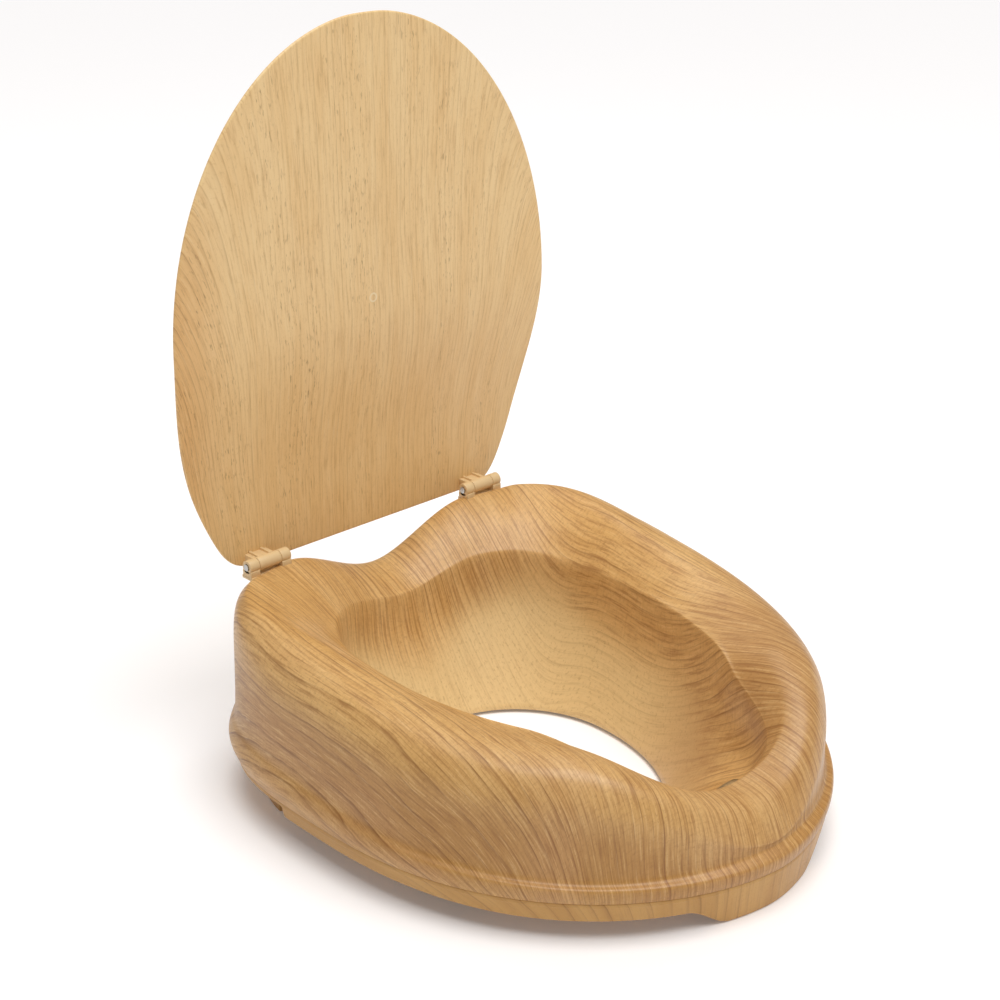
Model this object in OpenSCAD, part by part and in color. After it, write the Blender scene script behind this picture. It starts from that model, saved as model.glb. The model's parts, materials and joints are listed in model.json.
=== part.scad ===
// Raised toilet seat with a hinged lid. Millimetres, +Z up, +Y to the back, front of the seat at -Y.
// The origin is on the plane that the front lip and the rear feet stand on, midway between front and back.

/* [Seat] */
// Greatest width of the seat at its lower edge
seat_w = 370; // [340:1:400]
// Depth of the seat outline behind its widest place
back_d = 171; // [150:1:190]
// Depth of the seat outline in front of its widest place
front_d = 236; // [210:1:260]
// Height of the joint line between the seat and the base ring
seam_z = 29; // [26:1:34]
// Thickness of the moulded walls
wall = 3.5; // [3:0.1:5]
// Height of the side crests above the joint line at their highest
crest_h = 114; // [100:1:125]
// Fall of the side crests from back to front
crest_fall = 28; // [10:1:40]
// Depth of the scoop in the front rim
front_scoop = 42; // [10:1:45]
// How far the two front corners of the bowl reach out
front_lobe = 14; // [0:1:16]
// Depth of the scoop in the rear edge, between the hinges
rear_scoop = 28; // [5:1:35]
// How far the bead over the joint line stands out at the rear corners
bead_out = 5; // [2:0.5:6]

/* [Bowl] */
// Half width of the line where the seat turns down into the bowl
lip_a = 110; // [100:1:120]
// Height of that line above the joint line
lip_h = 75; // [65:1:85]
// Half width of the opening at the bottom of the bowl
hole_a = 79; // [70:1:84]

/* [Base ring] */
// Height of the strip under the joint line, at the sides
strip_h = 12; // [10:1:16]
// Half width of the deep part of the front lip
tongue_w = 38; // [30:1:60]
// How far the rear feet stand inside the joint line
foot_inset = 13; // [10:1:18]

/* [Lid] */
// Length of the lid in front of the hinge axis
lid_l = 373; // [360:1:385]
// Greatest width of the lid
lid_w = 341; // [320:1:350]
// Thickness of the lid
lid_t = 3; // [2.5:0.1:4]
// How far the lid stands above its own front part, next to the hinges
lid_step = 13.5; // [8:0.5:17]

/* [Hinges] */
// Height of the hinge axis above the joint line
axis_h = 117; // [117:0.5:120]
// Distance from the middle of the seat to the middle of each hinge
hinge_x = 104; // [98:1:106]
// Radius of the hinge barrels
barrel_r = 5; // [4.5:0.1:5.5]
// Radius of the steel hinge pins
pin_r = 2.5; // [2:0.1:2.8]

/* [Clamps] */
// How far each clamp slides outwards
clamp_travel = 10; // [6:1:10]
// Radius of the clamp knobs
knob_r = 10; // [8:0.5:11]
// Radius of the clamp screws
screw_r = 2.5; // [2:0.1:3]

/* [Hidden] */
// How far the bead stands out at the front
bead_front = 1.5;
// Widest place of the outline, from which all the rings are measured
mid_y = (front_d + bead_front - back_d - bead_out) / 2;
// Place of the hinge axis
axis_y = mid_y + back_d - 15;
axis_z = seam_z + axis_h;
// Steps round the seat and along its section
steps_round = 80;
eps = 0.01;
steps_skirt = 120;
// Bosses and screws between the seat and the base ring
boss_angles = [20, 160, 196, 344, 238, 302];
boss_r = 5;
thread_r = 1.7;
// Plate that closes the base ring, its pads and the notches in the skirt
plate_t = 4;
plate_z = seam_z - 4 - plate_t;
pad_t = 2.5;
pad_y = [-44, 50];
notch_y = mid_y + 44;
skirt_lean = 0.15;
strip_gain = 2.5;
tongue_fade = 30;
wall_lean = 0.032;
lobe_angle = 16;
ledge_t = 3;
// Lid sheet
lid_mid = 160;
lid_heel = 7;
lid_gap = -1;
lid_rows = 24;
lid_cols = 12;
// Hinge parts
barrel_l = 19;
ear_end = 18;
HINGE_SCREWS = [[-13.5, -3.6], [1, -3.6]];
// Clamps, as [side, y], then their heights above the standing plane
CLAMPS = [[-1, 93], [1, 93], [-1, -64], [1, -64]];
clamp_x = 96;
slot_end = 4.5;
arm_t = 4;
arm_z = plate_z - arm_t;
leg_z = 3;
nut_r = 4.6;
knob_h = 11;
knob_z = arm_z - 1.2 - knob_h;
screw_l = 18;

function smooth(t) = let (u = min(1, max(0, t))) u * u * (3 - 2 * u);
function mix(a, b, t) = a + (b - a) * t;
// Angle from the front axis and from the rear axis, in degrees
function off_front(a) = abs(((a + 90 + 540) % 360) - 180);
function off_rear(a) = 180 - off_front(a);
function hump(angle, half) = angle > half ? 0 : pow(cos(90 * angle / half), 2);

// Distance from the middle to a superellipse, along the direction (c, s)
function reach(c, s, a, b, p, q, r = 200, k = 9) =
    k == 0 ? r :
    reach(c, s, a, b, p, q,
          r / pow(pow(r * abs(c) / a, p) + pow(r * abs(s) / b, q), 2 / (p + q)), k - 1);

// The four rings: joint line, crest, bowl lip and bowl opening
function seam_r(a) = sin(a) < 0
    ? reach(cos(a), sin(a), seat_w / 2, front_d, 1.75, 2.3)
    : reach(cos(a), sin(a), seat_w / 2, back_d, 3.25, 3.25);
function lip_r(a) = sin(a) < 0
    ? reach(cos(a), sin(a), lip_a, front_d - 47, 1.75, 1.75) + front_lobe * front_corner(a)
    : reach(cos(a), sin(a), lip_a, back_d - 48, 3, 3);
function hole_r(a) = reach(cos(a), sin(a), hole_a, sin(a) < 0 ? front_d - 120 : back_d - 87, 2, 2);
function corner(a) = smooth((sin(a) - 0.25) / 0.5);
function front_corner(a) = hump(abs(off_front(a) - lobe_angle), lobe_angle);
function crest_in(a) = mix(38 + 2 * hump(off_front(a), 60) - 0.6 * front_lobe * front_corner(a), 15, corner(a));
function wall_in(a) = mix(5, 0.5, smooth((sin(a) + 1) / 1.6));
function crest_r(a) = seam_r(a) - crest_in(a);

// Heights above the joint line
function side_h(y) = crest_h - crest_fall * (1 - smooth((y + 104) / 260));
function shelf(x, y) = 3 * smooth((y - 135) / 40) * (1 - smooth((abs(x) - 104) / 24));
function crest_z(a) = let (r = crest_r(a), x = r * cos(a), y = mid_y + r * sin(a))
    side_h(y) - shelf(x, y) - front_scoop * hump(off_front(a), 37)
    - (y > 0 ? rear_scoop * (1 - smooth(abs(x) / 88)) : 0);
function lip_z(a) = lip_h - (front_scoop - 5) * hump(off_front(a), 45)
    - 9 * hump(off_rear(a), 50) + 5 * hump(abs(off_rear(a) - 32), 32);
function bead_h(a) = mix(13, 30, smooth((sin(a) + 0.95) / 1.6));
function bead_r(a) = mix(bead_front, bead_out, smooth((sin(a) + 0.7) / 1.1));

// Catmull-Rom curve through a list of points
function knot(p, i) = p[min(len(p) - 1, max(0, i))];
function curve_at(p, i, t) =
    let (a = knot(p, i - 1), b = knot(p, i), c = knot(p, i + 1), d = knot(p, i + 2))
    0.5 * (2 * b + (c - a) * t + (2 * a - 5 * b + 4 * c - d) * t * t + (3 * b - a - 3 * c + d) * t * t * t);
function curve(p, n) = [for (i = [0:len(p) - 2]) for (k = [0:n - 1]) curve_at(p, i, k / n), p[len(p) - 1]];

// Section of the seat's outer skin at angle a, as [radius, height above the joint line]
function skin_knots(a) =
    let (ro = seam_r(a), rc = crest_r(a), rl = lip_r(a), rh = hole_r(a),
         zc = crest_z(a), zl = lip_z(a), bh = bead_h(a), bo = bead_r(a),
         in0 = wall_in(a), top_in = in0 + wall_lean * (zc - bh),
         round_z = zc - min(24, 0.5 * (crest_in(a) + 8)))
    [[ro, 0],
     [ro + bo, bh * 0.45],
     [ro + bo * 0.5, bh * 0.8],
     [ro - in0, bh * 1.1],
     [ro - (in0 + top_in) / 2, mix(bh * 1.1, round_z, 0.5)],
     [ro - top_in, round_z],
     [mix(ro - top_in, rc, 0.35), mix(round_z, zc, 0.8)],
     [rc, zc],
     [mix(rc, rl, 0.5), mix(zc, zl, 0.34)],
     [mix(rc, rl, 0.88), mix(zc, zl, 0.76)],
     [rl, zl],
     [mix(rl, rh, 0.13), mix(zl, 0, 0.42)],
     [mix(rl, rh, 0.45), mix(zl, 0, 0.8)],
     [rh, 2 - seam_z]];
function skin(a, n) = curve(skin_knots(a), n);
// The same section moved inwards by a distance, square to the skin
function inset(p, d) = [for (i = [0:len(p) - 1])
    let (v = knot(p, i + 1) - knot(p, i - 1))
    i == 0 ? p[i] - [d, 0] :
    i == len(p) - 1 ? p[i] + [d, 0] :
    p[i] - d * [v[1], -v[0]] / norm(v)];
function place(a, q) = [q[0] * cos(a), mid_y + q[0] * sin(a), seam_z + q[1]];

// A closed ring swept through one section after another
module swept(sections) {
    n = len(sections);
    m = len(sections[0]);
    polyhedron(
        points = [for (s = sections) each s],
        faces = [for (i = [0:n - 1]) for (j = [0:m - 1])
            let (i2 = (i + 1) % n, j2 = (j + 1) % m)
            each [[i * m + j, i2 * m + j2, i2 * m + j], [i * m + j, i * m + j2, i2 * m + j2]]]);
}

// Screws that hold the base ring to the seat: one boss under the crest at each of these angles
module at_bosses() {
    for (a = boss_angles)
        translate([crest_r(a) * cos(a), mid_y + crest_r(a) * sin(a), 0])
            let ($top = seam_z + crest_z(a) - 3)
                children();
}

module seat_shell() {
    color("burlywood")
    difference() {
        union() {
            swept([for (i = [0:steps_round - 1])
                let (a = i * 360 / steps_round, outer = skin(a, 2), inner = inset(skin(a, 1), wall))
                [for (q = outer) place(a, q), for (k = [len(inner) - 1:-1:0]) place(a, inner[k])]]);
            at_bosses() translate([0, 0, seam_z]) cylinder(r = boss_r, h = $top - seam_z, $fn = 32);
        }
        at_bosses() translate([0, 0, seam_z - 1]) cylinder(r = thread_r, h = 25, $fn = 32);
    }
}

// Skirt under the joint line: flush at the front and sides, stepped in under a ledge behind the notches
function skirt_in(y) = mix(0.6, foot_inset, smooth((y - notch_y) / 16));
function skirt_r(a) = let (y = mid_y + seam_r(a) * sin(a)) seam_r(a) - skirt_in(y);
function skirt_drop(a) =
    let (x = abs(seam_r(a) * cos(a)), y = mid_y + seam_r(a) * sin(a),
         tongue = y > 0 ? 0 : 1 - smooth((x - tongue_w) / tongue_fade),
         foot = smooth((y - notch_y - 30) / 8) * smooth((x - 88) / 8),
         strip = mix(strip_h + strip_gain * (1 - smooth((y + 140) / 140)), 7, smooth((y - notch_y) / 8)))
    mix(strip, seam_z, max(tongue, foot));

// Section of the base ring: the skirt with the plate that closes the ring in one piece
function ring_section(a) =
    let (rs = seam_r(a) - 0.5, r = skirt_r(a), drop = skirt_drop(a), lean = skirt_lean * drop,
         z = seam_z - drop, ri = mix(lip_r(a), hole_r(a), 0.55) + wall + 2)
    [[r - lean, z], [r, seam_z - ledge_t], [rs, seam_z - ledge_t], [rs, seam_z], [rs - wall, seam_z],
     [rs - wall, plate_z + plate_t], [ri, plate_z + plate_t], [ri, plate_z],
     [r - wall - 2, plate_z], [r - lean - wall, z]];

module base_ring() {
    color("tan")
    difference() {
        union() {
            swept([for (i = [0:steps_skirt - 1])
                let (a = (i + 0.5) * 360 / steps_skirt)
                [for (q = ring_section(a)) [q[0] * cos(a), mid_y + q[0] * sin(a), q[1]]]]);
            at_clamps() translate([0, 0, plate_z + plate_t - eps]) cylinder(r = 7.5, h = 4, $fn = 32);
        }
        at_clamps() translate([0, 0, plate_z - 1]) cylinder(r = screw_r + 0.3, h = 12, $fn = 32);
        at_clamps() translate([0, 0, plate_z + plate_t]) cylinder(r = nut_r + 0.1, h = 6, $fn = 6);
        at_bosses() translate([0, 0, plate_z - 1]) cylinder(r = thread_r + 0.3, h = 12, $fn = 32);
    }
}

module base_screws() {
    color("silver")
    at_bosses() {
        translate([0, 0, plate_z - 2.2]) cylinder(r = 3.6, h = 2.2, $fn = 32);
        translate([0, 0, plate_z - 0.5]) cylinder(r = thread_r, h = 20, $fn = 32);
    }
}

module antislip_pads() {
    color("dimgray")
    for (sx = [-1, 1], y = pad_y)
        translate([sx * 140 - 9, y - 26, plate_z - pad_t]) cube([18, 52, pad_t]);
}

// Half width of the lid at a height v along it, and how far its face stands behind the hinge axis
function lid_half(v) = let (d = v - lid_mid, b = d > 0 ? lid_l - lid_mid : 242)
    lid_w / 2 * sqrt(max(0, 1 - pow(d / b, 2))) - (v < 6 ? 7 * pow(max(0, 6 - v) / 13, 2) : 0);
function lid_back(v) = mix(lid_step, lid_gap, smooth((v - 46) / 120));

module lid() {
    color("wheat")
    translate([0, axis_y, axis_z])
    difference() {
        union() {
            lid_sheet();
            for (sx = [-1, 1])
                translate([sx * hinge_x, 0, 0]) {
                    translate([-barrel_l / 2, 0, 0])
                        rotate([0, 90, 0]) cylinder(r = barrel_r, h = barrel_l, $fn = 48);
                    translate([-barrel_l / 2, 0, -3]) cube([barrel_l, lid_step + 1, 6]);
                    for (x = [-6, 4])
                        translate([x, 1, -4]) cube([2, lid_step - 0.5, 8.5]);
                }
        }
        for (sx = [-1, 1])
            translate([sx * hinge_x - barrel_l, 0, 0])
                rotate([0, 90, 0]) cylinder(r = pin_r + 0.05, h = 2 * barrel_l, $fn = 48);
    }
}

// The sheet of the lid: rows along its length, closed at both ends
module lid_sheet() {
    rows = [for (k = [0:lid_rows]) -lid_heel + (lid_l - 0.6 + lid_heel) * sin(90 * k / lid_rows)];
    n = len(rows);
    m = lid_cols + 1;
    function face(y) = [for (v = rows) for (j = [0:lid_cols])
        [lid_half(v) * (2 * j / lid_cols - 1), lid_back(v) + y, v]];
    function side(o, flip) = [for (i = [0:n - 2]) for (j = [0:m - 2])
        let (a = o + i * m + j, b = a + 1, c = a + m, d = c + 1)
        each (flip ? [[a, d, b], [a, c, d]] : [[a, b, d], [a, d, c]])];
    function band(p, q) = [for (i = [0:len(p) - 2])
        each [[p[i], q[i + 1], q[i]], [p[i], p[i + 1], q[i + 1]]]];
    left = [for (i = [0:n - 1]) i * m];
    right = [for (i = [0:n - 1]) i * m + m - 1];
    low = [for (j = [0:m - 1]) j];
    high = [for (j = [0:m - 1]) (n - 1) * m + j];
    o = n * m;
    function up(l) = [for (e = l) e + o];
    function back(l) = [for (k = [len(l) - 1:-1:0]) l[k]];
    polyhedron(
        points = concat(face(0), face(lid_t)),
        faces = concat(side(0, true), side(o, false),
                       band(low, up(low)), band(back(high), up(back(high))),
                       band(right, up(right)), band(back(left), up(back(left)))));
}

// Seat half of a hinge: two ears on a base let into the top of the seat
module hinge_block(side) {
    color("tan")
    translate([side * hinge_x, axis_y, axis_z])
    difference() {
        union() {
            translate([-ear_end, -6, -9.5]) cube([2 * ear_end, 12, 2.5]);
            for (span = [[-ear_end, -barrel_l / 2 - 0.3], [barrel_l / 2 + 0.3, ear_end]]) {
                translate([span[0], 0, 0])
                    rotate([0, 90, 0]) cylinder(r = barrel_r, h = span[1] - span[0], $fn = 48);
                translate([span[0], -barrel_r, -8]) cube([span[1] - span[0], 2 * barrel_r, 8]);
            }
        }
        translate([-ear_end - 1, 0, 0]) rotate([0, 90, 0]) cylinder(r = pin_r, h = 2 * ear_end + 2, $fn = 48);
        for (p = HINGE_SCREWS)
            translate([side * p[0], p[1], -10]) cylinder(r = 1.5, h = 2.8, $fn = 32);
    }
}

module hinge_pin(side) {
    color("silver")
    translate([side * hinge_x - ear_end - 0.8, axis_y, axis_z])
        rotate([0, 90, 0]) cylinder(r = pin_r, h = 2 * ear_end + 1.6, $fn = 48);
}

module hinge_screws() {
    color("silver")
    for (side = [-1, 1], p = HINGE_SCREWS)
        translate([side * (hinge_x + p[0]), axis_y + p[1], axis_z]) {
            translate([0, 0, -14]) cylinder(r = 1.5, h = 6.8, $fn = 32);
            translate([0, 0, -16]) cylinder(r = 3.2, h = 2.2, $fn = 32);
        }
}

// Clamps: an arm slides under the base plate and a knob on a screw locks it
function clamp_at(c) = [c[0] * clamp_x, c[1]];
module at_clamps() {
    for (c = CLAMPS)
        translate([clamp_at(c)[0], clamp_at(c)[1], 0]) children();
}
module clamp_frame(i) {
    translate([clamp_at(CLAMPS[i])[0], clamp_at(CLAMPS[i])[1], 0])
        mirror([CLAMPS[i][0] < 0 ? 1 : 0, 0, 0])
            children();
}

module clamp_bracket(i) {
    color("ivory")
    clamp_frame(i)
    difference() {
        union() {
            translate([-clamp_travel - slot_end, -7, arm_z]) cube([clamp_travel + slot_end + 15, 14, arm_t]);
            translate([12, -7, leg_z]) cube([3, 14, arm_z + arm_t - leg_z]);
        }
        hull() {
            for (x = [-clamp_travel, 0])
                translate([x, 0, arm_z - 1]) cylinder(r = screw_r + 0.4, h = arm_t + 2, $fn = 32);
        }
    }
}
module clamp_pad(i) {
    color("dimgray")
    clamp_frame(i) translate([15, -8, leg_z + 1]) cube([3, 16, arm_z - leg_z - 3]);
}
module clamp_knob(i) {
    color("ivory")
    clamp_frame(i)
    difference() {
        translate([0, 0, knob_z])
            union() {
                cylinder(r = knob_r - 1.2, h = knob_h, $fn = 48);
                for (k = [0:7])
                    rotate(k * 45) translate([knob_r - 1.6, 0, 0]) cylinder(r = 1.6, h = knob_h - 2, $fn = 24);
            }
        translate([0, 0, knob_z + knob_h - 6]) cylinder(r = screw_r, h = 7, $fn = 32);
        translate([0, 0, knob_z + knob_h - 6]) cylinder(r = 4.6, h = 3, $fn = 6);
    }
}
module clamp_screw(i) {
    color("silver")
    clamp_frame(i) {
        translate([0, 0, knob_z + knob_h - 6]) cylinder(r = 4.6, h = 3, $fn = 6);
        translate([0, 0, knob_z + knob_h - 5]) cylinder(r = screw_r, h = screw_l, $fn = 32);
    }
}
module clamp_washers() {
    color("silver")
    at_clamps()
        translate([0, 0, arm_z - 1.2])
            difference() {
                cylinder(r = 4.6, h = 1.2, $fn = 48);
                translate([0, 0, -1]) cylinder(r = screw_r + 0.2, h = 4, $fn = 32);
            }
}
module clamp_nuts() {
    color("silver")
    at_clamps()
        translate([0, 0, plate_z + plate_t])
            difference() {
                cylinder(r = nut_r, h = 3.8, $fn = 6);
                translate([0, 0, -1]) cylinder(r = screw_r + 0.05, h = 6, $fn = 32);
            }
}

seat_shell();
base_ring();
base_screws();
antislip_pads();
lid();
hinge_block(-1);  // hinge_block_left
hinge_block(1);  // hinge_block_right
hinge_pin(-1);  // hinge_pin_left
hinge_pin(1);  // hinge_pin_right
hinge_screws();
clamp_bracket(0);  // clamp_bracket_rear_left
clamp_bracket(1);  // clamp_bracket_rear_right
clamp_bracket(2);  // clamp_bracket_front_left
clamp_bracket(3);  // clamp_bracket_front_right
clamp_pad(0);  // clamp_pad_rear_left
clamp_pad(1);  // clamp_pad_rear_right
clamp_pad(2);  // clamp_pad_front_left
clamp_pad(3);  // clamp_pad_front_right
clamp_knob(0);  // clamp_knob_rear_left
clamp_knob(1);  // clamp_knob_rear_right
clamp_knob(2);  // clamp_knob_front_left
clamp_knob(3);  // clamp_knob_front_right
clamp_screw(0);  // clamp_screw_rear_left
clamp_screw(1);  // clamp_screw_rear_right
clamp_screw(2);  // clamp_screw_front_left
clamp_screw(3);  // clamp_screw_front_right
clamp_washers();
clamp_nuts();
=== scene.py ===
"""Raised toilet seat with a hinged lid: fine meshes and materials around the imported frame.

Lengths inside the shape functions are millimetres, as in the design; every mesh is written in metres.
X is to the right, Y to the back where the hinges are, and Z up.
"""

import json
import math

import bmesh
import bpy
import numpy as np
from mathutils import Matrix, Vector


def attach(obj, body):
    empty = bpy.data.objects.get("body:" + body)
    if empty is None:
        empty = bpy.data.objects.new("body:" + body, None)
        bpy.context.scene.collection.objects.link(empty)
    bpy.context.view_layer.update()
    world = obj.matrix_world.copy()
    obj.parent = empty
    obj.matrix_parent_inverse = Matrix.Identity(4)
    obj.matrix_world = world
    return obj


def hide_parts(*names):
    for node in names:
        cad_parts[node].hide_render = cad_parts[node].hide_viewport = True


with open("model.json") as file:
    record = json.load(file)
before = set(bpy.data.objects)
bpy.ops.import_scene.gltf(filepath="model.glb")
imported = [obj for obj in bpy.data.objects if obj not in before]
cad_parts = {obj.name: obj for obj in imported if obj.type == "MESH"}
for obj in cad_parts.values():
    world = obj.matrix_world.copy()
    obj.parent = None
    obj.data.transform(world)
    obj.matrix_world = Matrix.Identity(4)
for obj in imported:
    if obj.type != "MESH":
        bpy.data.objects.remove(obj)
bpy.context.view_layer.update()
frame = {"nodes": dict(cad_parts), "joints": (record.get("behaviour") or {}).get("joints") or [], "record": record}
MM = 0.001

# ---------------------------------------------------------------- driving dimensions of the seat
SEAT_W, BACK_D, FRONT_D = 370.0, 171.0, 236.0      # outline at the joint line, about its widest place
SEAM_Z = 29.0                                      # height of the joint line
WALL = 3.5
CREST_H, CREST_FALL = 114.0, 28.0                  # side crests above the joint line
FRONT_SCOOP, REAR_SCOOP = 42.0, 28.0
BEAD_OUT, BEAD_FRONT = 5.0, 1.5                    # how far the bead stands out, rear and front
LIP_A, LIP_H, HOLE_A = 110.0, 75.0, 79.0           # bowl lip and bowl opening
STRIP_H, TONGUE_W, FOOT_INSET = 12.0, 38.0, 13.0   # base ring
SKIRT_LEAN, STRIP_GAIN, TONGUE_FADE, WALL_LEAN = 0.15, 2.5, 30.0, 0.032
FRONT_LOBE, LOBE_ANGLE = 14.0, 16.0                # the two front corners of the bowl
TURN = 14.0                                        # how soon the grain turns down past the front crest
FILM_DOWN, FILM_IN = 0.9, 0.62                     # film per mm of skin, down the wall and into the bowl
LID_L, LID_W, LID_T, LID_STEP = 373.0, 341.0, 3.0, 13.5
LID_MID, LID_HEEL, LID_GAP = 160.0, 7.0, -1.0
BARREL_R, BARREL_L, EAR_END, HINGE_X = 5.0, 19.0, 18.0, 104.0
PIN_R, EAR_GAP = 2.5, 0.3
HINGE_BASE, HINGE_BASE_TOP = -9.5, -7.0            # heights about the hinge axis

MID_Y = (FRONT_D + BEAD_FRONT - BACK_D - BEAD_OUT) / 2
NOTCH_Y = MID_Y + 44.0
AXIS_Y, AXIS_Z = (v / MM for v in next(j for j in frame["joints"] if j["name"] == "lid_hinge")["pos_m"][1:])


def smooth(t):
    t = np.clip(t, 0.0, 1.0)
    return t * t * (3 - 2 * t)


def mix(a, b, t):
    return a + (b - a) * t


def hump(angle, half):
    """1 at angle 0, falling smoothly to 0 at the half angle."""
    return np.cos(np.radians(90 * np.minimum(angle, half) / half)) ** 2


def reach(a, half_w, depth, p, q):
    """Distance from the middle to a superellipse, at each angle a in degrees."""
    c, s = np.abs(np.cos(np.radians(a))), np.abs(np.sin(np.radians(a)))
    r = np.full(np.shape(a), 200.0)
    for _ in range(30):
        r = r / ((r * c / half_w) ** p + (r * s / depth) ** q) ** (2 / (p + q))
    return r


def two_ends(a, front, rear):
    """One ring with a front half and a rear half of different shape, each (half width, depth, p, q)."""
    return np.where(np.sin(np.radians(a)) < 0, reach(a, *front), reach(a, *rear))


def seam_r(a):
    return two_ends(a, (SEAT_W / 2, FRONT_D, 1.75, 2.3), (SEAT_W / 2, BACK_D, 3.25, 3.25))


def lip_r(a):
    oval = two_ends(a, (LIP_A, FRONT_D - 47, 1.75, 1.75), (LIP_A, BACK_D - 48, 3, 3))
    return oval + FRONT_LOBE * front_corner(a)


def hole_r(a):
    return two_ends(a, (HOLE_A, FRONT_D - 120, 2, 2), (HOLE_A, BACK_D - 87, 2, 2))


def off_front(a):
    return np.abs((a + 90 + 540) % 360 - 180)


def front_corner(a):
    return hump(np.abs(off_front(a) - LOBE_ANGLE), LOBE_ANGLE)


def crest_in(a):
    corner = smooth((np.sin(np.radians(a)) - 0.25) / 0.5)
    return mix(38 + 2 * hump(off_front(a), 60) - 0.6 * FRONT_LOBE * front_corner(a), 15, corner)


def plan(a, r):
    return r * np.cos(np.radians(a)), MID_Y + r * np.sin(np.radians(a))


def crest_z(a):
    x, y = plan(a, seam_r(a) - crest_in(a))
    side = CREST_H - CREST_FALL * (1 - smooth((y + 104) / 260))
    shelf = 3 * smooth((y - 135) / 40) * (1 - smooth((np.abs(x) - 104) / 24))
    rear = np.where(y > 0, REAR_SCOOP * (1 - smooth(np.abs(x) / 88)), 0)
    return side - shelf - rear - FRONT_SCOOP * hump(off_front(a), 37)


def lip_z(a):
    off_rear = 180 - off_front(a)
    rear = 5 * hump(np.abs(off_rear - 32), 32) - 9 * hump(off_rear, 50)
    return LIP_H - (FRONT_SCOOP - 5) * hump(off_front(a), 45) + rear


def skin_knots(a):
    """The seat's section at each angle, from the joint line over the crest to the bowl opening."""
    s = np.sin(np.radians(a))
    ro, rl, rh = seam_r(a), lip_r(a), hole_r(a)
    rc = ro - crest_in(a)
    zc, zl = crest_z(a), lip_z(a)
    bh, bo = mix(13, 30, smooth((s + 0.95) / 1.6)), mix(BEAD_FRONT, BEAD_OUT, smooth((s + 0.7) / 1.1))
    foot_in = mix(5, 0.5, smooth((s + 1) / 1.6))
    top_in = foot_in + WALL_LEAN * (zc - bh)
    round_z = zc - np.minimum(24, 0.5 * (crest_in(a) + 8))
    zero = np.zeros_like(a)
    knots = [
        (ro, zero),
        (ro + bo, bh * 0.45),
        (ro + bo * 0.5, bh * 0.8),
        (ro - foot_in, bh * 1.1),
        (ro - (foot_in + top_in) / 2, mix(bh * 1.1, round_z, 0.5)),
        (ro - top_in, round_z),
        (mix(ro - top_in, rc, 0.35), mix(round_z, zc, 0.8)),
        (rc, zc),
        (mix(rc, rl, 0.5), mix(zc, zl, 0.34)),
        (mix(rc, rl, 0.88), mix(zc, zl, 0.76)),
        (rl, zl),
        (mix(rl, rh, 0.13), mix(zl, 0, 0.42)),
        (mix(rl, rh, 0.45), mix(zl, 0, 0.8)),
        (rh, zero + 2 - SEAM_Z + WALL / 2),
    ]
    return np.stack([np.stack(k, -1) for k in knots], 1)


CREST_KNOT = 7


def curve(p, n):
    """Catmull-Rom curve through the knots p[angle, knot], with n steps a span."""
    k = p.shape[1]
    rows = []
    for i in range(k - 1):
        a, b, c, d = (p[:, min(k - 1, max(0, j))] for j in (i - 1, i, i + 1, i + 2))
        for t in np.arange(n) / n:
            rows.append(0.5 * (2 * b + (c - a) * t + (2 * a - 5 * b + 4 * c - d) * t**2
                               + (3 * b - a - 3 * c + d) * t**3))
    rows.append(p[:, -1])
    return np.stack(rows, 1)


def relaxed(p, passes):
    """The same sections with their curvature evened out; the end points stay."""
    for _ in range(passes):
        p[:, 1:-1] = 0.25 * p[:, :-2] + 0.5 * p[:, 1:-1] + 0.25 * p[:, 2:]
    return p


def inset(p, d):
    """The sections moved inwards by d, square to the skin."""
    v = np.empty_like(p)
    v[:, 1:-1] = p[:, 2:] - p[:, :-2]
    v[:, 0], v[:, -1] = (0, 1), (0, -1)
    length = np.linalg.norm(v, axis=-1, keepdims=True)
    return p - d * np.stack([v[..., 1], -v[..., 0]], -1) / length


def along(p, start):
    """Length along each section, counted from the point with index start."""
    step = np.linalg.norm(np.diff(p, axis=1), axis=-1)
    s = np.concatenate([np.zeros((len(p), 1)), np.cumsum(step, 1)], 1)
    return s - s[:, start:start + 1]


# ---------------------------------------------------------------- meshes
def piece(name, points, faces, film=None):
    """A smooth mesh object from points in millimetres. film is where each point lies on the printed film."""
    mesh = bpy.data.meshes.new(name)
    mesh.from_pydata((np.asarray(points, float) * MM).tolist(), [], faces)
    mesh.update()
    if film is not None:
        mesh.attributes.new("film", "FLOAT_VECTOR", "POINT").data.foreach_set(
            "vector", np.asarray(film, np.float32).ravel())
    mesh.shade_smooth()
    obj = bpy.data.objects.new(name, mesh)
    bpy.context.scene.collection.objects.link(obj)
    return obj


def swept_faces(n, m):
    """Quads of a closed ring of n closed sections with m points each."""
    i, j = (g.ravel() for g in np.meshgrid(np.arange(n), np.arange(m), indexing="ij"))
    i2, j2 = (i + 1) % n, (j + 1) % m
    return np.stack([i * m + j, i2 * m + j, i2 * m + j2, i * m + j2], 1).tolist()


def ring(name, a, section, film):
    """A closed ring swept through the sections [radius, height above the joint line] at the angles a."""
    x, y = plan(a[:, None], section[..., 0])
    points = np.stack([x, y, section[..., 1] + SEAM_Z], -1)
    n, m = section.shape[:2]
    return piece(name, points.reshape(-1, 3), swept_faces(n, m), film.reshape(-1, 3))


def draped(a, start_r, s):
    """Film place of a point s millimetres down from the ring start_r: the film hangs square to the ring.

    Towards the front the grain turns over the edge and then runs straight down."""
    c, d = np.cos(np.radians(a))[:, None], np.sin(np.radians(a))[:, None]
    r = start_r[:, None]
    side = smooth((np.abs(c) - 0.35) / 0.5)
    turned = TURN * (1 - np.exp(-np.maximum(s, 0) / TURN))
    across = np.where(s > 0, mix(turned, s, side), s)
    return np.stack([(r + across) * c, (r + s) * d, s], -1)


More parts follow.
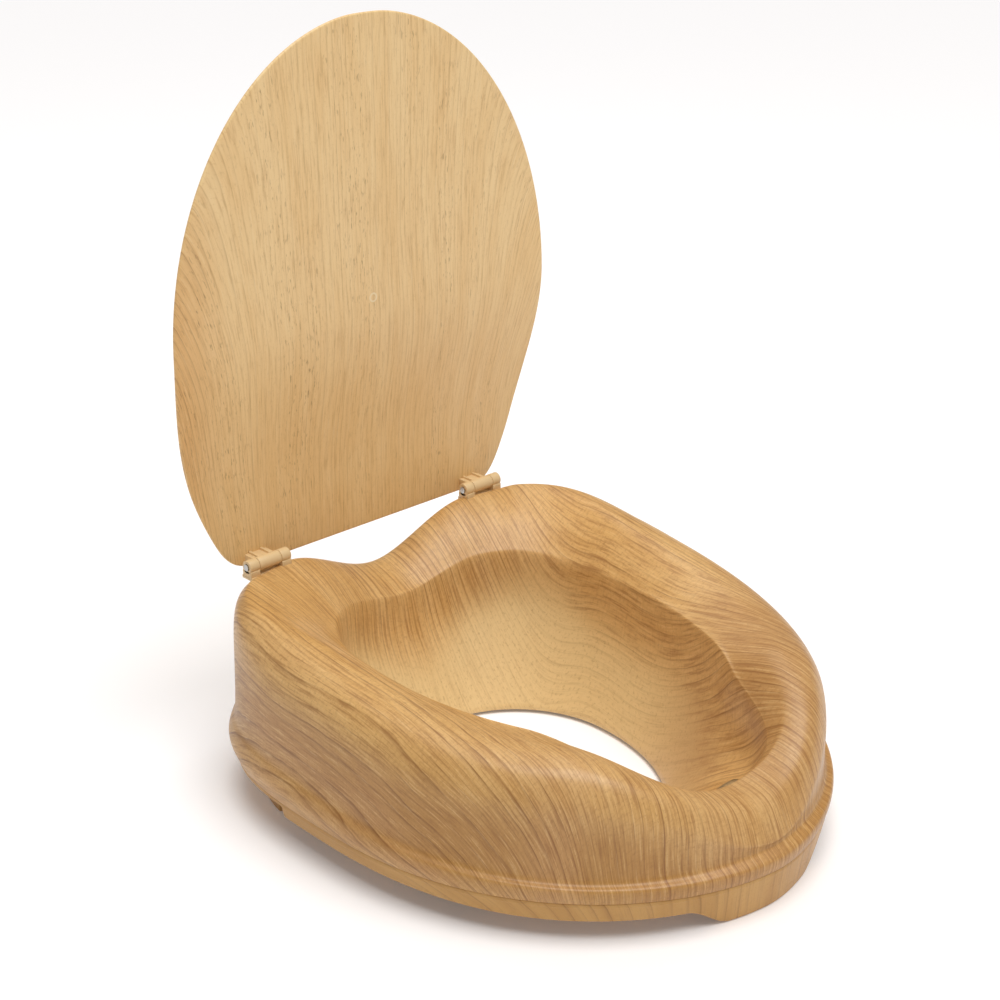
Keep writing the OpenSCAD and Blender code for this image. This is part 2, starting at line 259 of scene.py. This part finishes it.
def bowed(start, end, n, bulge):
    """Half circle from start to end, n points between them, bulging along the direction (0, bulge)."""
    t = np.pi * np.arange(1, n + 1) / (n + 1)
    mid, half = (start + end) / 2, (end - start) / 2
    radius = np.linalg.norm(half, axis=-1)
    arc = mid[:, None] - half[:, None] * np.cos(t)[None, :, None]
    arc[..., 1] += bulge * radius[:, None] * np.sin(t)
    return arc


def seat_shell():
    a = np.arange(540) * 360 / 540
    fine, coarse = 9, 3
    outer = relaxed(curve(skin_knots(a), fine), 4)
    inner = inset(curve(skin_knots(a), coarse), WALL)[:, ::-1]
    edge = 0.5
    outer[:, 0] = outer[:, 0] + (0, edge)
    corner = np.stack([outer[:, 0, 0] - edge, outer[:, 0, 1] - edge], -1)[:, None]
    chamfer = np.stack([outer[:, 0, 0] - 0.3 * edge, outer[:, 0, 1] - 0.7 * edge], -1)[:, None]
    rim = bowed(outer[:, -1], inner[:, 0], 7, -1)
    section = np.concatenate([corner, chamfer, outer, rim, inner], 1)
    s = -along(outer, CREST_KNOT * fine)
    inside = np.minimum(s, 0)
    film_s = np.maximum(s, 0) * FILM_DOWN + inside * FILM_IN
    hidden = section.shape[1] - outer.shape[1] - 2
    film_s = np.concatenate([film_s[:, :1]] * 2 + [film_s] + [film_s[:, -1:]] * hidden, 1)
    depth = np.concatenate([s[:, :1]] * 2 + [s] + [s[:, -1:]] * hidden, 1)
    film = draped(a, seam_r(a) - crest_in(a), film_s)
    film[..., 2] = depth
    return ring("seat_moulding", a, section, film)


def rounded(section, cut, steps=3):
    """Each corner j of the closed sections cut back by cut[j] and rounded."""
    rows, m = [], section.shape[1]
    for j in range(m):
        p, before, after = section[:, j], section[:, j - 1], section[:, (j + 1) % m]
        ends = []
        for q in (before, after):
            v = q - p
            length = np.linalg.norm(v, axis=-1, keepdims=True)
            ends.append(p + v / np.maximum(length, 1e-6) * np.minimum(cut[j], 0.45 * length))
        for t in np.arange(steps + 1) / steps:
            rows.append((1 - t) ** 2 * ends[0] + 2 * t * (1 - t) * p + t**2 * ends[1])
    return np.stack(rows, 1)


def base_ring():
    a = (np.arange(900) + 0.5) * 360 / 900
    ro = seam_r(a)
    x, y = plan(a, ro)
    x = np.abs(x)
    r = ro - mix(0.6, FOOT_INSET, smooth((y - NOTCH_Y) / 16))
    tongue = np.where(y > 0, 0, 1 - smooth((x - TONGUE_W) / TONGUE_FADE))
    foot = smooth((y - NOTCH_Y - 30) / 8) * smooth((x - 88) / 8)
    strip = mix(STRIP_H + STRIP_GAIN * (1 - smooth((y + 140) / 140)), 7, smooth((y - NOTCH_Y) / 8))
    drop = mix(strip, SEAM_Z, np.maximum(tongue, foot))
    lean = SKIRT_LEAN * drop
    zero = np.zeros_like(a)
    rs, plate, ledge = ro - 0.5, -8.0, 3.0
    ri = mix(lip_r(a), hole_r(a), 0.55) + WALL + 2
    corners = [(r - lean, -drop), (r, zero - ledge), (rs, zero - ledge), (rs, zero), (rs - WALL, zero),
               (rs - WALL, zero + plate + 4), (ri, zero + plate + 4), (ri, zero + plate),
               (r - WALL - 2, zero + plate), (r - lean - WALL, -drop)]
    section = np.stack([np.stack(c, -1) for c in corners], 1)
    section = rounded(section, [1.6, 1.0, 0.4, 0.7, 0.5, 0.5, 0.8, 0.8, 2.0, 1.0])
    film = draped(a, ro, -section[..., 1])
    return ring("base_moulding", a, section, film)


# ---------------------------------------------------------------- lid
def lid_half(v):
    b = np.where(v > LID_MID, LID_L - LID_MID, 242)
    round_off = np.where(v < 6, 7 * (np.maximum(0, 6 - v) / 13) ** 2, 0)
    return LID_W / 2 * np.sqrt(np.maximum(0, 1 - ((v - LID_MID) / b) ** 2)) - round_off


def lid_back(v):
    return mix(LID_STEP, LID_GAP, smooth((v - 46) / 120))


def evenly(p, n):
    """n points at even steps along the closed line p."""
    closed = np.concatenate([p, p[:1]])
    s = np.concatenate([[0], np.cumsum(np.linalg.norm(np.diff(closed, axis=0), axis=1))])
    t = np.arange(n) * s[-1] / n
    return np.stack([np.interp(t, s, closed[:, k]) for k in (0, 1)], 1)


def lid_outline(n=480):
    v = -LID_HEEL + (LID_L - 0.6 + LID_HEEL) * np.sin(np.radians(90 * np.linspace(0, 1, 300)))
    right = np.stack([lid_half(v), v], 1)
    line = evenly(np.concatenate([right, right[::-1] * (-1, 1)]), n)
    for _ in range(14):
        line = 0.25 * np.roll(line, 1, 0) + 0.5 * line + 0.25 * np.roll(line, -1, 0)
    return line


def lid_sheet():
    """Rings from the middle of the face, round the rounded rim and back to the middle of the back."""
    line = lid_outline()
    n = len(line)
    tangent = np.roll(line, -1, 0) - np.roll(line, 1, 0)
    outward = np.stack([tangent[:, 1], -tangent[:, 0]], 1)
    outward /= np.linalg.norm(outward, axis=1, keepdims=True)
    middle = np.array([0, 150.0])
    radius = LID_T / 2
    rings = []
    inner = line - outward * radius
    shares = [(k / 60) for k in range(1, 60)]
    for t in shares:
        rings.append((middle + (inner - middle) * t, 0.0))
    for k in range(13):
        angle = math.pi * k / 12
        rings.append((line - outward * radius * (1 - math.sin(angle)), radius * (1 - math.cos(angle))))
    for t in reversed(shares):
        rings.append((middle + (inner - middle) * t, LID_T))
    points = [[0, lid_back(middle[1]), middle[1]]]
    for flat, y in rings:
        points += np.stack([flat[:, 0], lid_back(flat[:, 1]) + y, flat[:, 1]], 1).tolist()
    points.append([0, lid_back(middle[1]) + LID_T, middle[1]])
    last = len(points) - 1
    faces = [(0, 1 + i, 1 + (i + 1) % n) for i in range(n)]
    for k in range(len(rings) - 1):
        o = 1 + k * n
        faces += [(o + i, o + n + i, o + n + (i + 1) % n, o + (i + 1) % n) for i in range(n)]
    o = 1 + (len(rings) - 1) * n
    faces += [(last, o + (i + 1) % n, o + i) for i in range(n)]
    return np.array(points), faces


def lid():
    points, faces = lid_sheet()
    x, v = points[:, 0], points[:, 2]
    across = x - np.sign(x) * 0.38 * (np.abs(x) / 165) ** 3 * (v - 150)
    film = np.stack([across, v, x], 1)
    return piece("lid_sheet", points + (0, AXIS_Y, AXIS_Z), faces, film)


# ---------------------------------------------------------------- small solids
def box(bm, low, high):
    """A box from its lowest to its highest corner."""
    made = bmesh.ops.create_cube(bm, size=1)["verts"]
    low, high = Vector(low), Vector(high)
    for v in made:
        v.co = Vector([l + (c + 0.5) * (h - l) for l, c, h in zip(low, v.co, high)])


def tube(bm, x0, x1, y, z, outer, inner, steps=64):
    """A tube along X."""
    rings = []
    for x, r in ((x0, outer), (x1, outer), (x1, inner), (x0, inner)):
        rings.append([bm.verts.new((x, y + r * math.cos(t), z + r * math.sin(t)))
                      for t in (2 * math.pi * k / steps for k in range(steps))])
    for k in range(4):
        p, q = rings[k], rings[(k + 1) % 4]
        for i in range(steps):
            j = (i + 1) % steps
            bm.faces.new((p[i], p[j], q[j], q[i]))


def solid(name, build, bevel=0.4, segments=3):
    """A bevelled solid made by build(bm), in millimetres."""
    bm = bmesh.new()
    build(bm)
    bmesh.ops.recalc_face_normals(bm, faces=bm.faces)
    bmesh.ops.scale(bm, vec=(MM,) * 3, verts=bm.verts)
    sharp = [e for e in bm.edges if e.calc_face_angle(0) > math.radians(40)]
    bmesh.ops.bevel(bm, geom=sharp, offset=bevel * MM, segments=segments, affect="EDGES",
                    profile=0.5, clamp_overlap=True)
    mesh = bpy.data.meshes.new(name)
    bm.to_mesh(mesh)
    bm.free()
    mesh.shade_smooth()
    obj = bpy.data.objects.new(name, mesh)
    bpy.context.scene.collection.objects.link(obj)
    return obj


def hinge_block(side, name):
    """Two ears on a base let into the top of the seat."""
    x = side * HINGE_X
    gap = BARREL_L / 2 + EAR_GAP

    def build(bm):
        low, high = AXIS_Z + HINGE_BASE, AXIS_Z + HINGE_BASE_TOP
        box(bm, (x - EAR_END, AXIS_Y - 6, low), (x + EAR_END, AXIS_Y + 6, high))
        for x0, x1 in ((-EAR_END, -gap), (gap, EAR_END)):
            tube(bm, x + x0, x + x1, AXIS_Y, AXIS_Z, BARREL_R, PIN_R)
            box(bm, (x + x0, AXIS_Y - BARREL_R, AXIS_Z - 8), (x + x1, AXIS_Y + BARREL_R, AXIS_Z - 2.6))
    return solid(name, build)


def lid_knuckle(side, name):
    """The lid's barrel of one hinge, the web that joins it to the sheet and its two ribs."""
    x = side * HINGE_X

    def build(bm):
        tube(bm, x - BARREL_L / 2, x + BARREL_L / 2, AXIS_Y, AXIS_Z, BARREL_R, PIN_R + 0.05)
        web_end = AXIS_Y + LID_STEP + 1
        box(bm, (x - BARREL_L / 2, AXIS_Y + 2.6, AXIS_Z - 3), (x + BARREL_L / 2, web_end, AXIS_Z + 3))
        for rib in (-6, 4):
            box(bm, (x + rib, AXIS_Y + 2.8, AXIS_Z - 4), (x + rib + 2, AXIS_Y + LID_STEP + 0.5, AXIS_Z + 4.5))
    return solid(name, build)


# ---------------------------------------------------------------- materials
class Shader:
    """One material's node tree, with a short call for each kind of node that repeats."""

    def __init__(self, name, **fixed):
        self.material = bpy.data.materials.new(name)
        self.material.use_nodes = True
        self.tree = self.material.node_tree
        self.tree.nodes.clear()
        self.skin = self.tree.nodes.new("ShaderNodeBsdfPrincipled")
        out = self.tree.nodes.new("ShaderNodeOutputMaterial")
        self.tree.links.new(self.skin.outputs[0], out.inputs[0])
        for key, value in fixed.items():
            self.skin.inputs[key.replace("_", " ").title().replace("Ior", "IOR")].default_value = value

    def put(self, socket, value):
        if isinstance(value, bpy.types.NodeSocket):
            self.tree.links.new(value, socket)
        else:
            socket.default_value = value

    def maths(self, kind, *values, clamp=False):
        n = self.tree.nodes.new("ShaderNodeMath")
        n.operation, n.use_clamp = kind, clamp
        for socket, value in zip(n.inputs, values):
            self.put(socket, value)
        return n.outputs[0]

    def add(self, *values):
        total = values[0]
        for v in values[1:]:
            total = self.maths("ADD", total, v)
        return total

    def times(self, a, b):
        return self.maths("MULTIPLY", a, b)

    def step(self, value, low, high, to_low=0.0, to_high=1.0):
        """A smooth step of value from low to high."""
        n = self.tree.nodes.new("ShaderNodeMapRange")
        n.interpolation_type = "SMOOTHSTEP"
        for socket, v in zip(n.inputs, (value, low, high, to_low, to_high)):
            self.put(socket, v)
        return n.outputs[0]

    def film(self):
        """Place on the film: across the grain, along it, and the third value, in millimetres."""
        n = self.tree.nodes.new("ShaderNodeAttribute")
        n.attribute_name = "film"
        return self.axes(n.outputs["Vector"])

    def place(self):
        """Place in the object, in metres."""
        n = self.tree.nodes.new("ShaderNodeTexCoord")
        return n.outputs["Object"]

    def axes(self, vector):
        n = self.tree.nodes.new("ShaderNodeSeparateXYZ")
        self.tree.links.new(vector, n.inputs[0])
        return n.outputs

    def noise(self, u, v, wide, long, seed, detail=2.0, rough=0.5):
        """Noise with features wide mm across and long mm along; 0.5 on average."""
        join = self.tree.nodes.new("ShaderNodeCombineXYZ")
        self.put(join.inputs[0], self.maths("DIVIDE", u, wide))
        self.put(join.inputs[1], self.maths("DIVIDE", v, long))
        join.inputs[2].default_value = seed
        return self.noise_at(join.outputs[0], 1.0, detail, rough)

    def noise_at(self, vector, scale, detail=2.0, rough=0.5):
        n = self.tree.nodes.new("ShaderNodeTexNoise")
        self.put(n.inputs["Vector"], vector)
        for key, value in (("Scale", scale), ("Detail", detail), ("Roughness", rough)):
            n.inputs[key].default_value = value
        return n.outputs[0]

    def chance(self, value):
        """A random number for each whole number."""
        n = self.tree.nodes.new("ShaderNodeTexWhiteNoise")
        n.noise_dimensions = "1D"
        self.put(n.inputs["W"], value)
        return n.outputs[0]

    def blend(self, share, a, b, kind="MIX"):
        n = self.tree.nodes.new("ShaderNodeMix")
        n.data_type, n.blend_type = "RGBA", kind
        self.put(n.inputs[0], share)
        self.put(n.inputs[6], a)
        self.put(n.inputs[7], b)
        return n.outputs[2]

    def bump(self, height, strength, distance):
        n = self.tree.nodes.new("ShaderNodeBump")
        n.inputs["Strength"].default_value = strength
        n.inputs["Distance"].default_value = distance
        self.put(n.inputs["Height"], height)
        self.put(self.skin.inputs["Normal"], n.outputs[0])

    def colour(self, value):
        self.put(self.skin.inputs["Base Color"], value)

    def rough(self, value):
        self.put(self.skin.inputs["Roughness"], value)


def tone(red, green, blue):
    """A colour from its 0 to 255 screen values."""
    lin = [c / 255 / 12.92 if c <= 10 else ((c / 255 + 0.055) / 1.055) ** 2.4 for c in (red, green, blue)]
    return (*lin, 1.0)


def grain(sh, u, v, spacing, seed, waver=1.0):
    """Growth lines of a sawn board. Returns how dark the line is, the waved place across, and a slow tone."""
    wave = sh.add(
        sh.times(sh.maths("SUBTRACT", sh.noise(u, v, 110, 190, seed, 1), 0.5), 20 * waver),
        sh.times(sh.maths("SUBTRACT", sh.noise(u, v, 30, 95, seed + 3, 1), 0.5), 3.5 * waver),
        sh.times(sh.maths("SUBTRACT", sh.noise(u, v, 6, 26, seed + 5, 2), 0.5), 0.9))
    across = sh.add(u, wave)
    crowd = sh.times(sh.maths("SUBTRACT", sh.noise(across, 0.0, 40, 1, seed + 7, 1), 0.5), 5.0)
    phase = sh.add(sh.maths("DIVIDE", across, spacing), crowd)
    whole = sh.maths("FLOOR", phase)
    part = sh.maths("SUBTRACT", phase, whole)
    strength = sh.step(sh.chance(whole), 0.0, 1.0, 0.25, 1.0)
    late = sh.maths("POWER", part, 9.0)
    fresh = sh.step(part, 0.0, 0.07, 1.0, 0.0)
    edge = sh.times(sh.maths("MAXIMUM", late, fresh), 0.8)
    line = sh.add(edge, sh.times(sh.maths("POWER", part, 2.5), 0.2))
    broken = sh.step(sh.noise(across, v, 1.8, 34, seed + 9, 3, 0.65), 0.34, 0.62, 0.35, 1.0)
    slow = sh.noise(across, v, 18, 150, seed + 11, 2)
    return sh.times(sh.times(line, strength), broken), across, slow


def film_common(sh, u, v, across):
    """Fibre streaks and the fine dots of the print; each is 0.5 on average."""
    fibre = sh.noise(across, v, 1.5, 32, 31, 3, 0.7)
    dots = sh.noise(u, v, 1.5, 2.2, 33, 3, 0.7)
    return fibre, dots


def wood_seat():
    """Printed film on the seat: golden brown with dark growth lines, wider apart down the sides.

    Down in the bowl it is paler and the print fades. Painted shade darkens the outer walls, a band just inside the
    bowl lip on the right, and the front of the seat."""
    sh = Shader("wood_film_seat", coat_weight=0.08, coat_roughness=0.22, ior=1.42)
    u, v, depth = sh.film()
    over_side = sh.maths("SUBTRACT", sh.maths("ABSOLUTE", u), 165.0)
    outside = sh.times(sh.maths("MAXIMUM", over_side, 0.0), 0.55)
    spread = sh.times(outside, sh.maths("SIGN", u))
    line, wide, slow = grain(sh, sh.maths("SUBTRACT", u, spread), v, 4.8, 2.0)
    across = sh.add(wide, spread)
    fibre, dots = film_common(sh, u, v, across)
    x, y = (sh.times(s, 1000) for s in sh.axes(sh.place())[:2])
    funnel = sh.step(depth, -58, -112)
    # wall masks the outer side walls, from 26 mm below the crest down towards the base, where painted shade goes
    wall = sh.times(sh.step(depth, 26, 70), sh.step(depth, 85, 125, 1.0, 0.35))
    # painted shade: a band 28 to 96 mm inside the crest, just under the bowl lip, where the overhang throws shade
    lip_shade_band = sh.times(sh.step(depth, -28, -46), sh.step(depth, -96, -60))
    base = sh.blend(sh.step(slow, 0.36, 0.64), tone(208, 162, 98), tone(219, 176, 114))
    blush = sh.times(sh.step(sh.noise(u, v, 70, 120, 17, 1), 0.42, 0.70), sh.step(depth, 0, 40, 0.1, 0.6))
    # painted shade: the outer walls are darkened towards tone(174, 124, 60), standing in for the shade on the
    # top-lit sides
    base = sh.blend(sh.times(wall, 0.75), base, tone(174, 124, 60))
    base = sh.blend(sh.times(blush, 0.6), base, tone(202, 154, 104))
    base = sh.blend(sh.times(funnel, 0.85), base, tone(226, 198, 144))
    # painted shade under the bowl lip, only on the right side of the seat
    base = sh.blend(sh.times(lip_shade_band, sh.step(x, 10, 70, 0.0, 0.12)), base, tone(178, 128, 70))
    # painted shade: the front of the seat's top and bowl, stronger on the right, is darkened towards tone(176,
    # 128, 78), less inside the lip band
    front = sh.times(sh.times(sh.step(y, 10, -90), sh.step(x, -110, 90, 0.15, 0.6)), sh.step(depth, 60, 20))
    base = sh.blend(sh.times(front, sh.step(lip_shade_band, 0.0, 1.0, 1.0, 0.2)), base, tone(176, 128, 78))
    ink = sh.times(line, sh.step(funnel, 0.0, 1.0, 0.95, 0.25))
    base = sh.blend(ink, base, tone(116, 68, 28))
    print_depth = sh.step(funnel, 0.0, 1.0, 1.0, 0.3)
    base = sh.blend(sh.times(sh.step(fibre, 0.48, 0.66, 0.0, 0.50), print_depth), base, tone(144, 94, 48))
    base = sh.blend(sh.times(sh.step(fibre, 0.47, 0.32, 0.0, 0.36), print_depth), base, tone(236, 198, 140))
    ripple = sh.noise(across, v, 5, 2.0, 61, 2, 0.6)
    base = sh.blend(sh.times(sh.step(ripple, 0.46, 0.66, 0.0, 0.14), print_depth), base, tone(150, 102, 54))
    base = sh.blend(sh.step(dots, 0.52, 0.70, 0.0, 0.34), base, tone(146, 100, 58))
    sh.colour(base)
    sh.rough(sh.step(sh.add(sh.times(dots, 0.5), sh.times(fibre, 0.5)), 0.3, 0.7, 0.34, 0.46))
    sh.bump(sh.add(sh.times(dots, 0.5), sh.times(fibre, 0.5)), 0.10, 0.0004)
    return sh.material


def wood_base():
    """The same film on the base ring, lighter, with the lines further apart and slanting."""
    sh = Shader("wood_film_base", coat_weight=0.06, coat_roughness=0.3, ior=1.42)
    u, v, depth = sh.film()
    line, across, slow = grain(sh, u, v, 9.0, 51.0, 1.2)
    fibre, dots = film_common(sh, u, v, across)
    base = sh.blend(sh.step(slow, 0.34, 0.66), tone(190, 142, 76), tone(202, 156, 90))
    base = sh.blend(sh.times(line, 0.75), base, tone(122, 76, 36))
    base = sh.blend(sh.step(fibre, 0.50, 0.78, 0.0, 0.35), base, tone(152, 106, 62))
    base = sh.blend(sh.step(dots, 0.52, 0.75, 0.0, 0.20), base, tone(150, 104, 62))
    sh.colour(base)
    sh.rough(sh.step(dots, 0.3, 0.7, 0.36, 0.48))
    sh.bump(dots, 0.10, 0.0004)
    return sh.material


def wood_lid():
    """The film on the lid: pale, with fine upright grain, speckled in bands and browner at one side."""
    sh = Shader("wood_film_lid", coat_weight=0.08, coat_roughness=0.35, ior=1.45)
    u, v, x = sh.film()
    line, across, slow = grain(sh, u, v, 4.2, 90.0, 0.45)
    fibre, dots = film_common(sh, u, v, across)
    pores = sh.noise(across, v, 1.2, 9, 37, 2, 0.65)
    band = sh.step(sh.noise(across, v, 30, 260, 41, 2), 0.42, 0.66)
    base = sh.blend(sh.step(slow, 0.34, 0.66), tone(238, 201, 142), tone(243, 210, 154))
    base = sh.blend(sh.step(v, 190, -20, 0.0, 0.5), base, tone(232, 190, 124))
    edge = sh.times(sh.step(x, -118, -172), sh.step(v, 330, 180))
    base = sh.blend(sh.times(edge, 0.6), base, tone(220, 166, 98))
    base = sh.blend(sh.times(line, sh.add(sh.times(edge, 0.4), 0.42)), base, tone(156, 104, 52))
    base = sh.blend(sh.step(fibre, 0.48, 0.70, 0.0, 0.40), base, tone(190, 142, 84))
    base = sh.blend(sh.step(fibre, 0.46, 0.30, 0.0, 0.36), base, tone(244, 216, 166))
    base = sh.blend(sh.step(dots, 0.54, 0.72, 0.0, 0.16), base, tone(170, 118, 66))
    speckle = sh.times(sh.step(pores, 0.58, 0.70), sh.add(sh.times(band, 0.50), 0.12))
    base = sh.blend(speckle, base, tone(140, 92, 48))
    gate_v, gate_r = 173.4, 2.9
    up = sh.maths("SUBTRACT", v, gate_v)
    away = sh.maths("SQRT", sh.add(sh.times(x, x), sh.maths("POWER", up, 2.0)))
    gate = sh.step(sh.maths("ABSOLUTE", sh.maths("SUBTRACT", away, gate_r)), 0.9, 0.3)
    base = sh.blend(sh.times(gate, 0.75), base, tone(246, 226, 188))
    sh.colour(base)
    sh.rough(sh.step(dots, 0.3, 0.7, 0.40, 0.52))
    sh.bump(sh.add(sh.times(dots, 0.5), sh.times(fibre, 0.5)), 0.08, 0.0004)
    return sh.material


def moulded(name, light, dark, rough, grain_mm, strength):
    """Moulded plastic with a fine texture and a slow change of tone."""
    sh = Shader(name, ior=1.5)
    at = sh.place()
    fine = sh.noise_at(at, 1 / (grain_mm * MM), 3, 0.6)
    slow = sh.noise_at(at, 60, 2)
    sh.colour(sh.blend(sh.add(sh.times(slow, 0.6), sh.times(fine, 0.4)), dark, light))
    sh.rough(sh.step(fine, 0.3, 0.7, rough - 0.06, rough + 0.08))
    sh.bump(fine, strength, 0.0002)
    return sh.material


def brushed_steel():
    """Drawn stainless steel, with fine lines along the part and a little staining."""
    sh = Shader("stainless_steel", metallic=1.0)
    x, y, z = (sh.times(s, 1000) for s in sh.axes(sh.place()))
    drawn = sh.noise(sh.add(y, z), x, 0.25, 9, 5, 3, 0.6)
    stain = sh.noise_at(sh.place(), 140, 3)
    share = sh.add(sh.times(drawn, 0.6), sh.times(stain, 0.4))
    sh.colour(sh.blend(share, tone(150, 148, 145), tone(214, 213, 211)))
    sh.rough(sh.step(drawn, 0.3, 0.7, 0.22, 0.42))
    sh.bump(drawn, 0.15, 0.0001)
    return sh.material


# ---------------------------------------------------------------- assembly
def place_piece(obj, material, body, slot, *nodes):
    obj.data.materials.clear()
    obj.data.materials.append(material)
    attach(obj, body)
    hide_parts(*nodes)


hinge_plastic = moulded("hinge_plastic", tone(236, 208, 160), tone(222, 188, 136), 0.42, 0.8, 0.15)
place_piece(seat_shell(), wood_seat(), "root", "wood_effect_seat", "seat_shell")
place_piece(base_ring(), wood_base(), "root", "wood_effect_base", "base_ring")
lid_piece = lid()
place_piece(lid_piece, wood_lid(), "lid", "wood_effect_lid", "lid")
for side, word in ((-1, "left"), (1, "right")):
    block = hinge_block(side, "hinge_seat_half_" + word)
    place_piece(block, hinge_plastic, "root", "hinge_plastic", "hinge_block_" + word)
    knuckle = lid_knuckle(side, "lid_knuckle_" + word)
    place_piece(knuckle, hinge_plastic, "lid", "wood_effect_lid")

FINISHES = {
    "steel": brushed_steel(),
    "rubber": moulded("rubber", tone(62, 61, 60), tone(40, 40, 40), 0.72, 0.6, 0.35),
    "clamp_plastic": moulded("clamp_plastic", tone(236, 231, 218), tone(222, 215, 199), 0.5, 0.7, 0.2),
}
for part in frame["record"]["subparts"]:
    finish = FINISHES.get(part["material_slot"])
    if finish:
        mesh = frame["nodes"][part["node"]].data
        for i in range(len(mesh.materials)):
            mesh.materials[i] = finish

# ---------------------------------------------------------------- floor, light and camera
def floor():
    mesh = bpy.data.meshes.new("floor")
    half = 60.0
    corners = [(-half, -half, 0), (half, -half, 0), (half, half, 0), (-half, half, 0)]
    mesh.from_pydata(corners, [], [(0, 1, 2, 3)])
    obj = bpy.data.objects.new("floor", mesh)
    bpy.context.scene.collection.objects.link(obj)
    sh = Shader("white_acrylic")
    sh.skin.inputs["Base Color"].default_value = (0.93, 0.915, 0.91, 1)
    sh.skin.inputs["Roughness"].default_value = 0.5
    sh.skin.inputs["Specular IOR Level"].default_value = 0.1
    sh.skin.inputs["Emission Color"].default_value = (1, 0.95, 0.94, 1)
    sh.skin.inputs["Emission Strength"].default_value = 0.10
    mesh.materials.append(sh.material)
    obj.location.z = -0.0002


def softbox(name, at, aim, size, power):
    light = bpy.data.lights.new(name, "AREA")
    light.shape, light.size, light.size_y = "RECTANGLE", size[0], size[1]
    light.energy = power
    obj = bpy.data.objects.new(name, light)
    bpy.context.scene.collection.objects.link(obj)
    obj.location = at
    obj.rotation_mode = "QUATERNION"
    obj.rotation_quaternion = (Vector(aim) - Vector(at)).to_track_quat("-Z", "Y")


def overhead(name, towards, spread, strength):
    """A broad light without falloff, shining down from the direction towards."""
    light = bpy.data.lights.new(name, "SUN")
    light.energy, light.angle = strength, math.radians(spread)
    obj = bpy.data.objects.new(name, light)
    bpy.context.scene.collection.objects.link(obj)
    obj.rotation_mode = "QUATERNION"
    obj.rotation_quaternion = (-Vector(towards)).to_track_quat("-Z", "Y")


def camera(at, azimuth, elevation, lens):
    data = bpy.data.cameras.new("camera")
    data.lens, data.sensor_width = lens, 36
    obj = bpy.data.objects.new("camera", data)
    bpy.context.scene.collection.objects.link(obj)
    a, e = math.radians(azimuth), math.radians(elevation)
    back = Vector((math.sin(a) * math.cos(e), -math.cos(a) * math.cos(e), math.sin(e)))
    obj.location = at
    obj.rotation_mode = "QUATERNION"
    obj.rotation_quaternion = (-back).to_track_quat("-Z", "Y")
    bpy.context.scene.camera = obj


floor()
world = bpy.data.worlds.new("studio")
world.use_nodes = True
world.node_tree.nodes["Background"].inputs[0].default_value = (1, 1, 1, 1)
world.node_tree.nodes["Background"].inputs[1].default_value = 0.26
bpy.context.scene.world = world
overhead("sky_panel", towards=(0.0, -0.22, 1.0), spread=45, strength=2.4)
softbox("key", at=(0.5, 0.9, 1.9), aim=(0, 0, 0.1), size=(1.5, 1.1), power=7)
softbox("front", at=(0.4, -1.6, 1.7), aim=(0, 0, 0.2), size=(1.4, 1.0), power=2.5)
bpy.context.scene.view_settings.view_transform = "Standard"
camera(at=(-0.8365, -0.8190, 0.7089), azimuth=-43.736, elevation=22.717, lens=68.4)
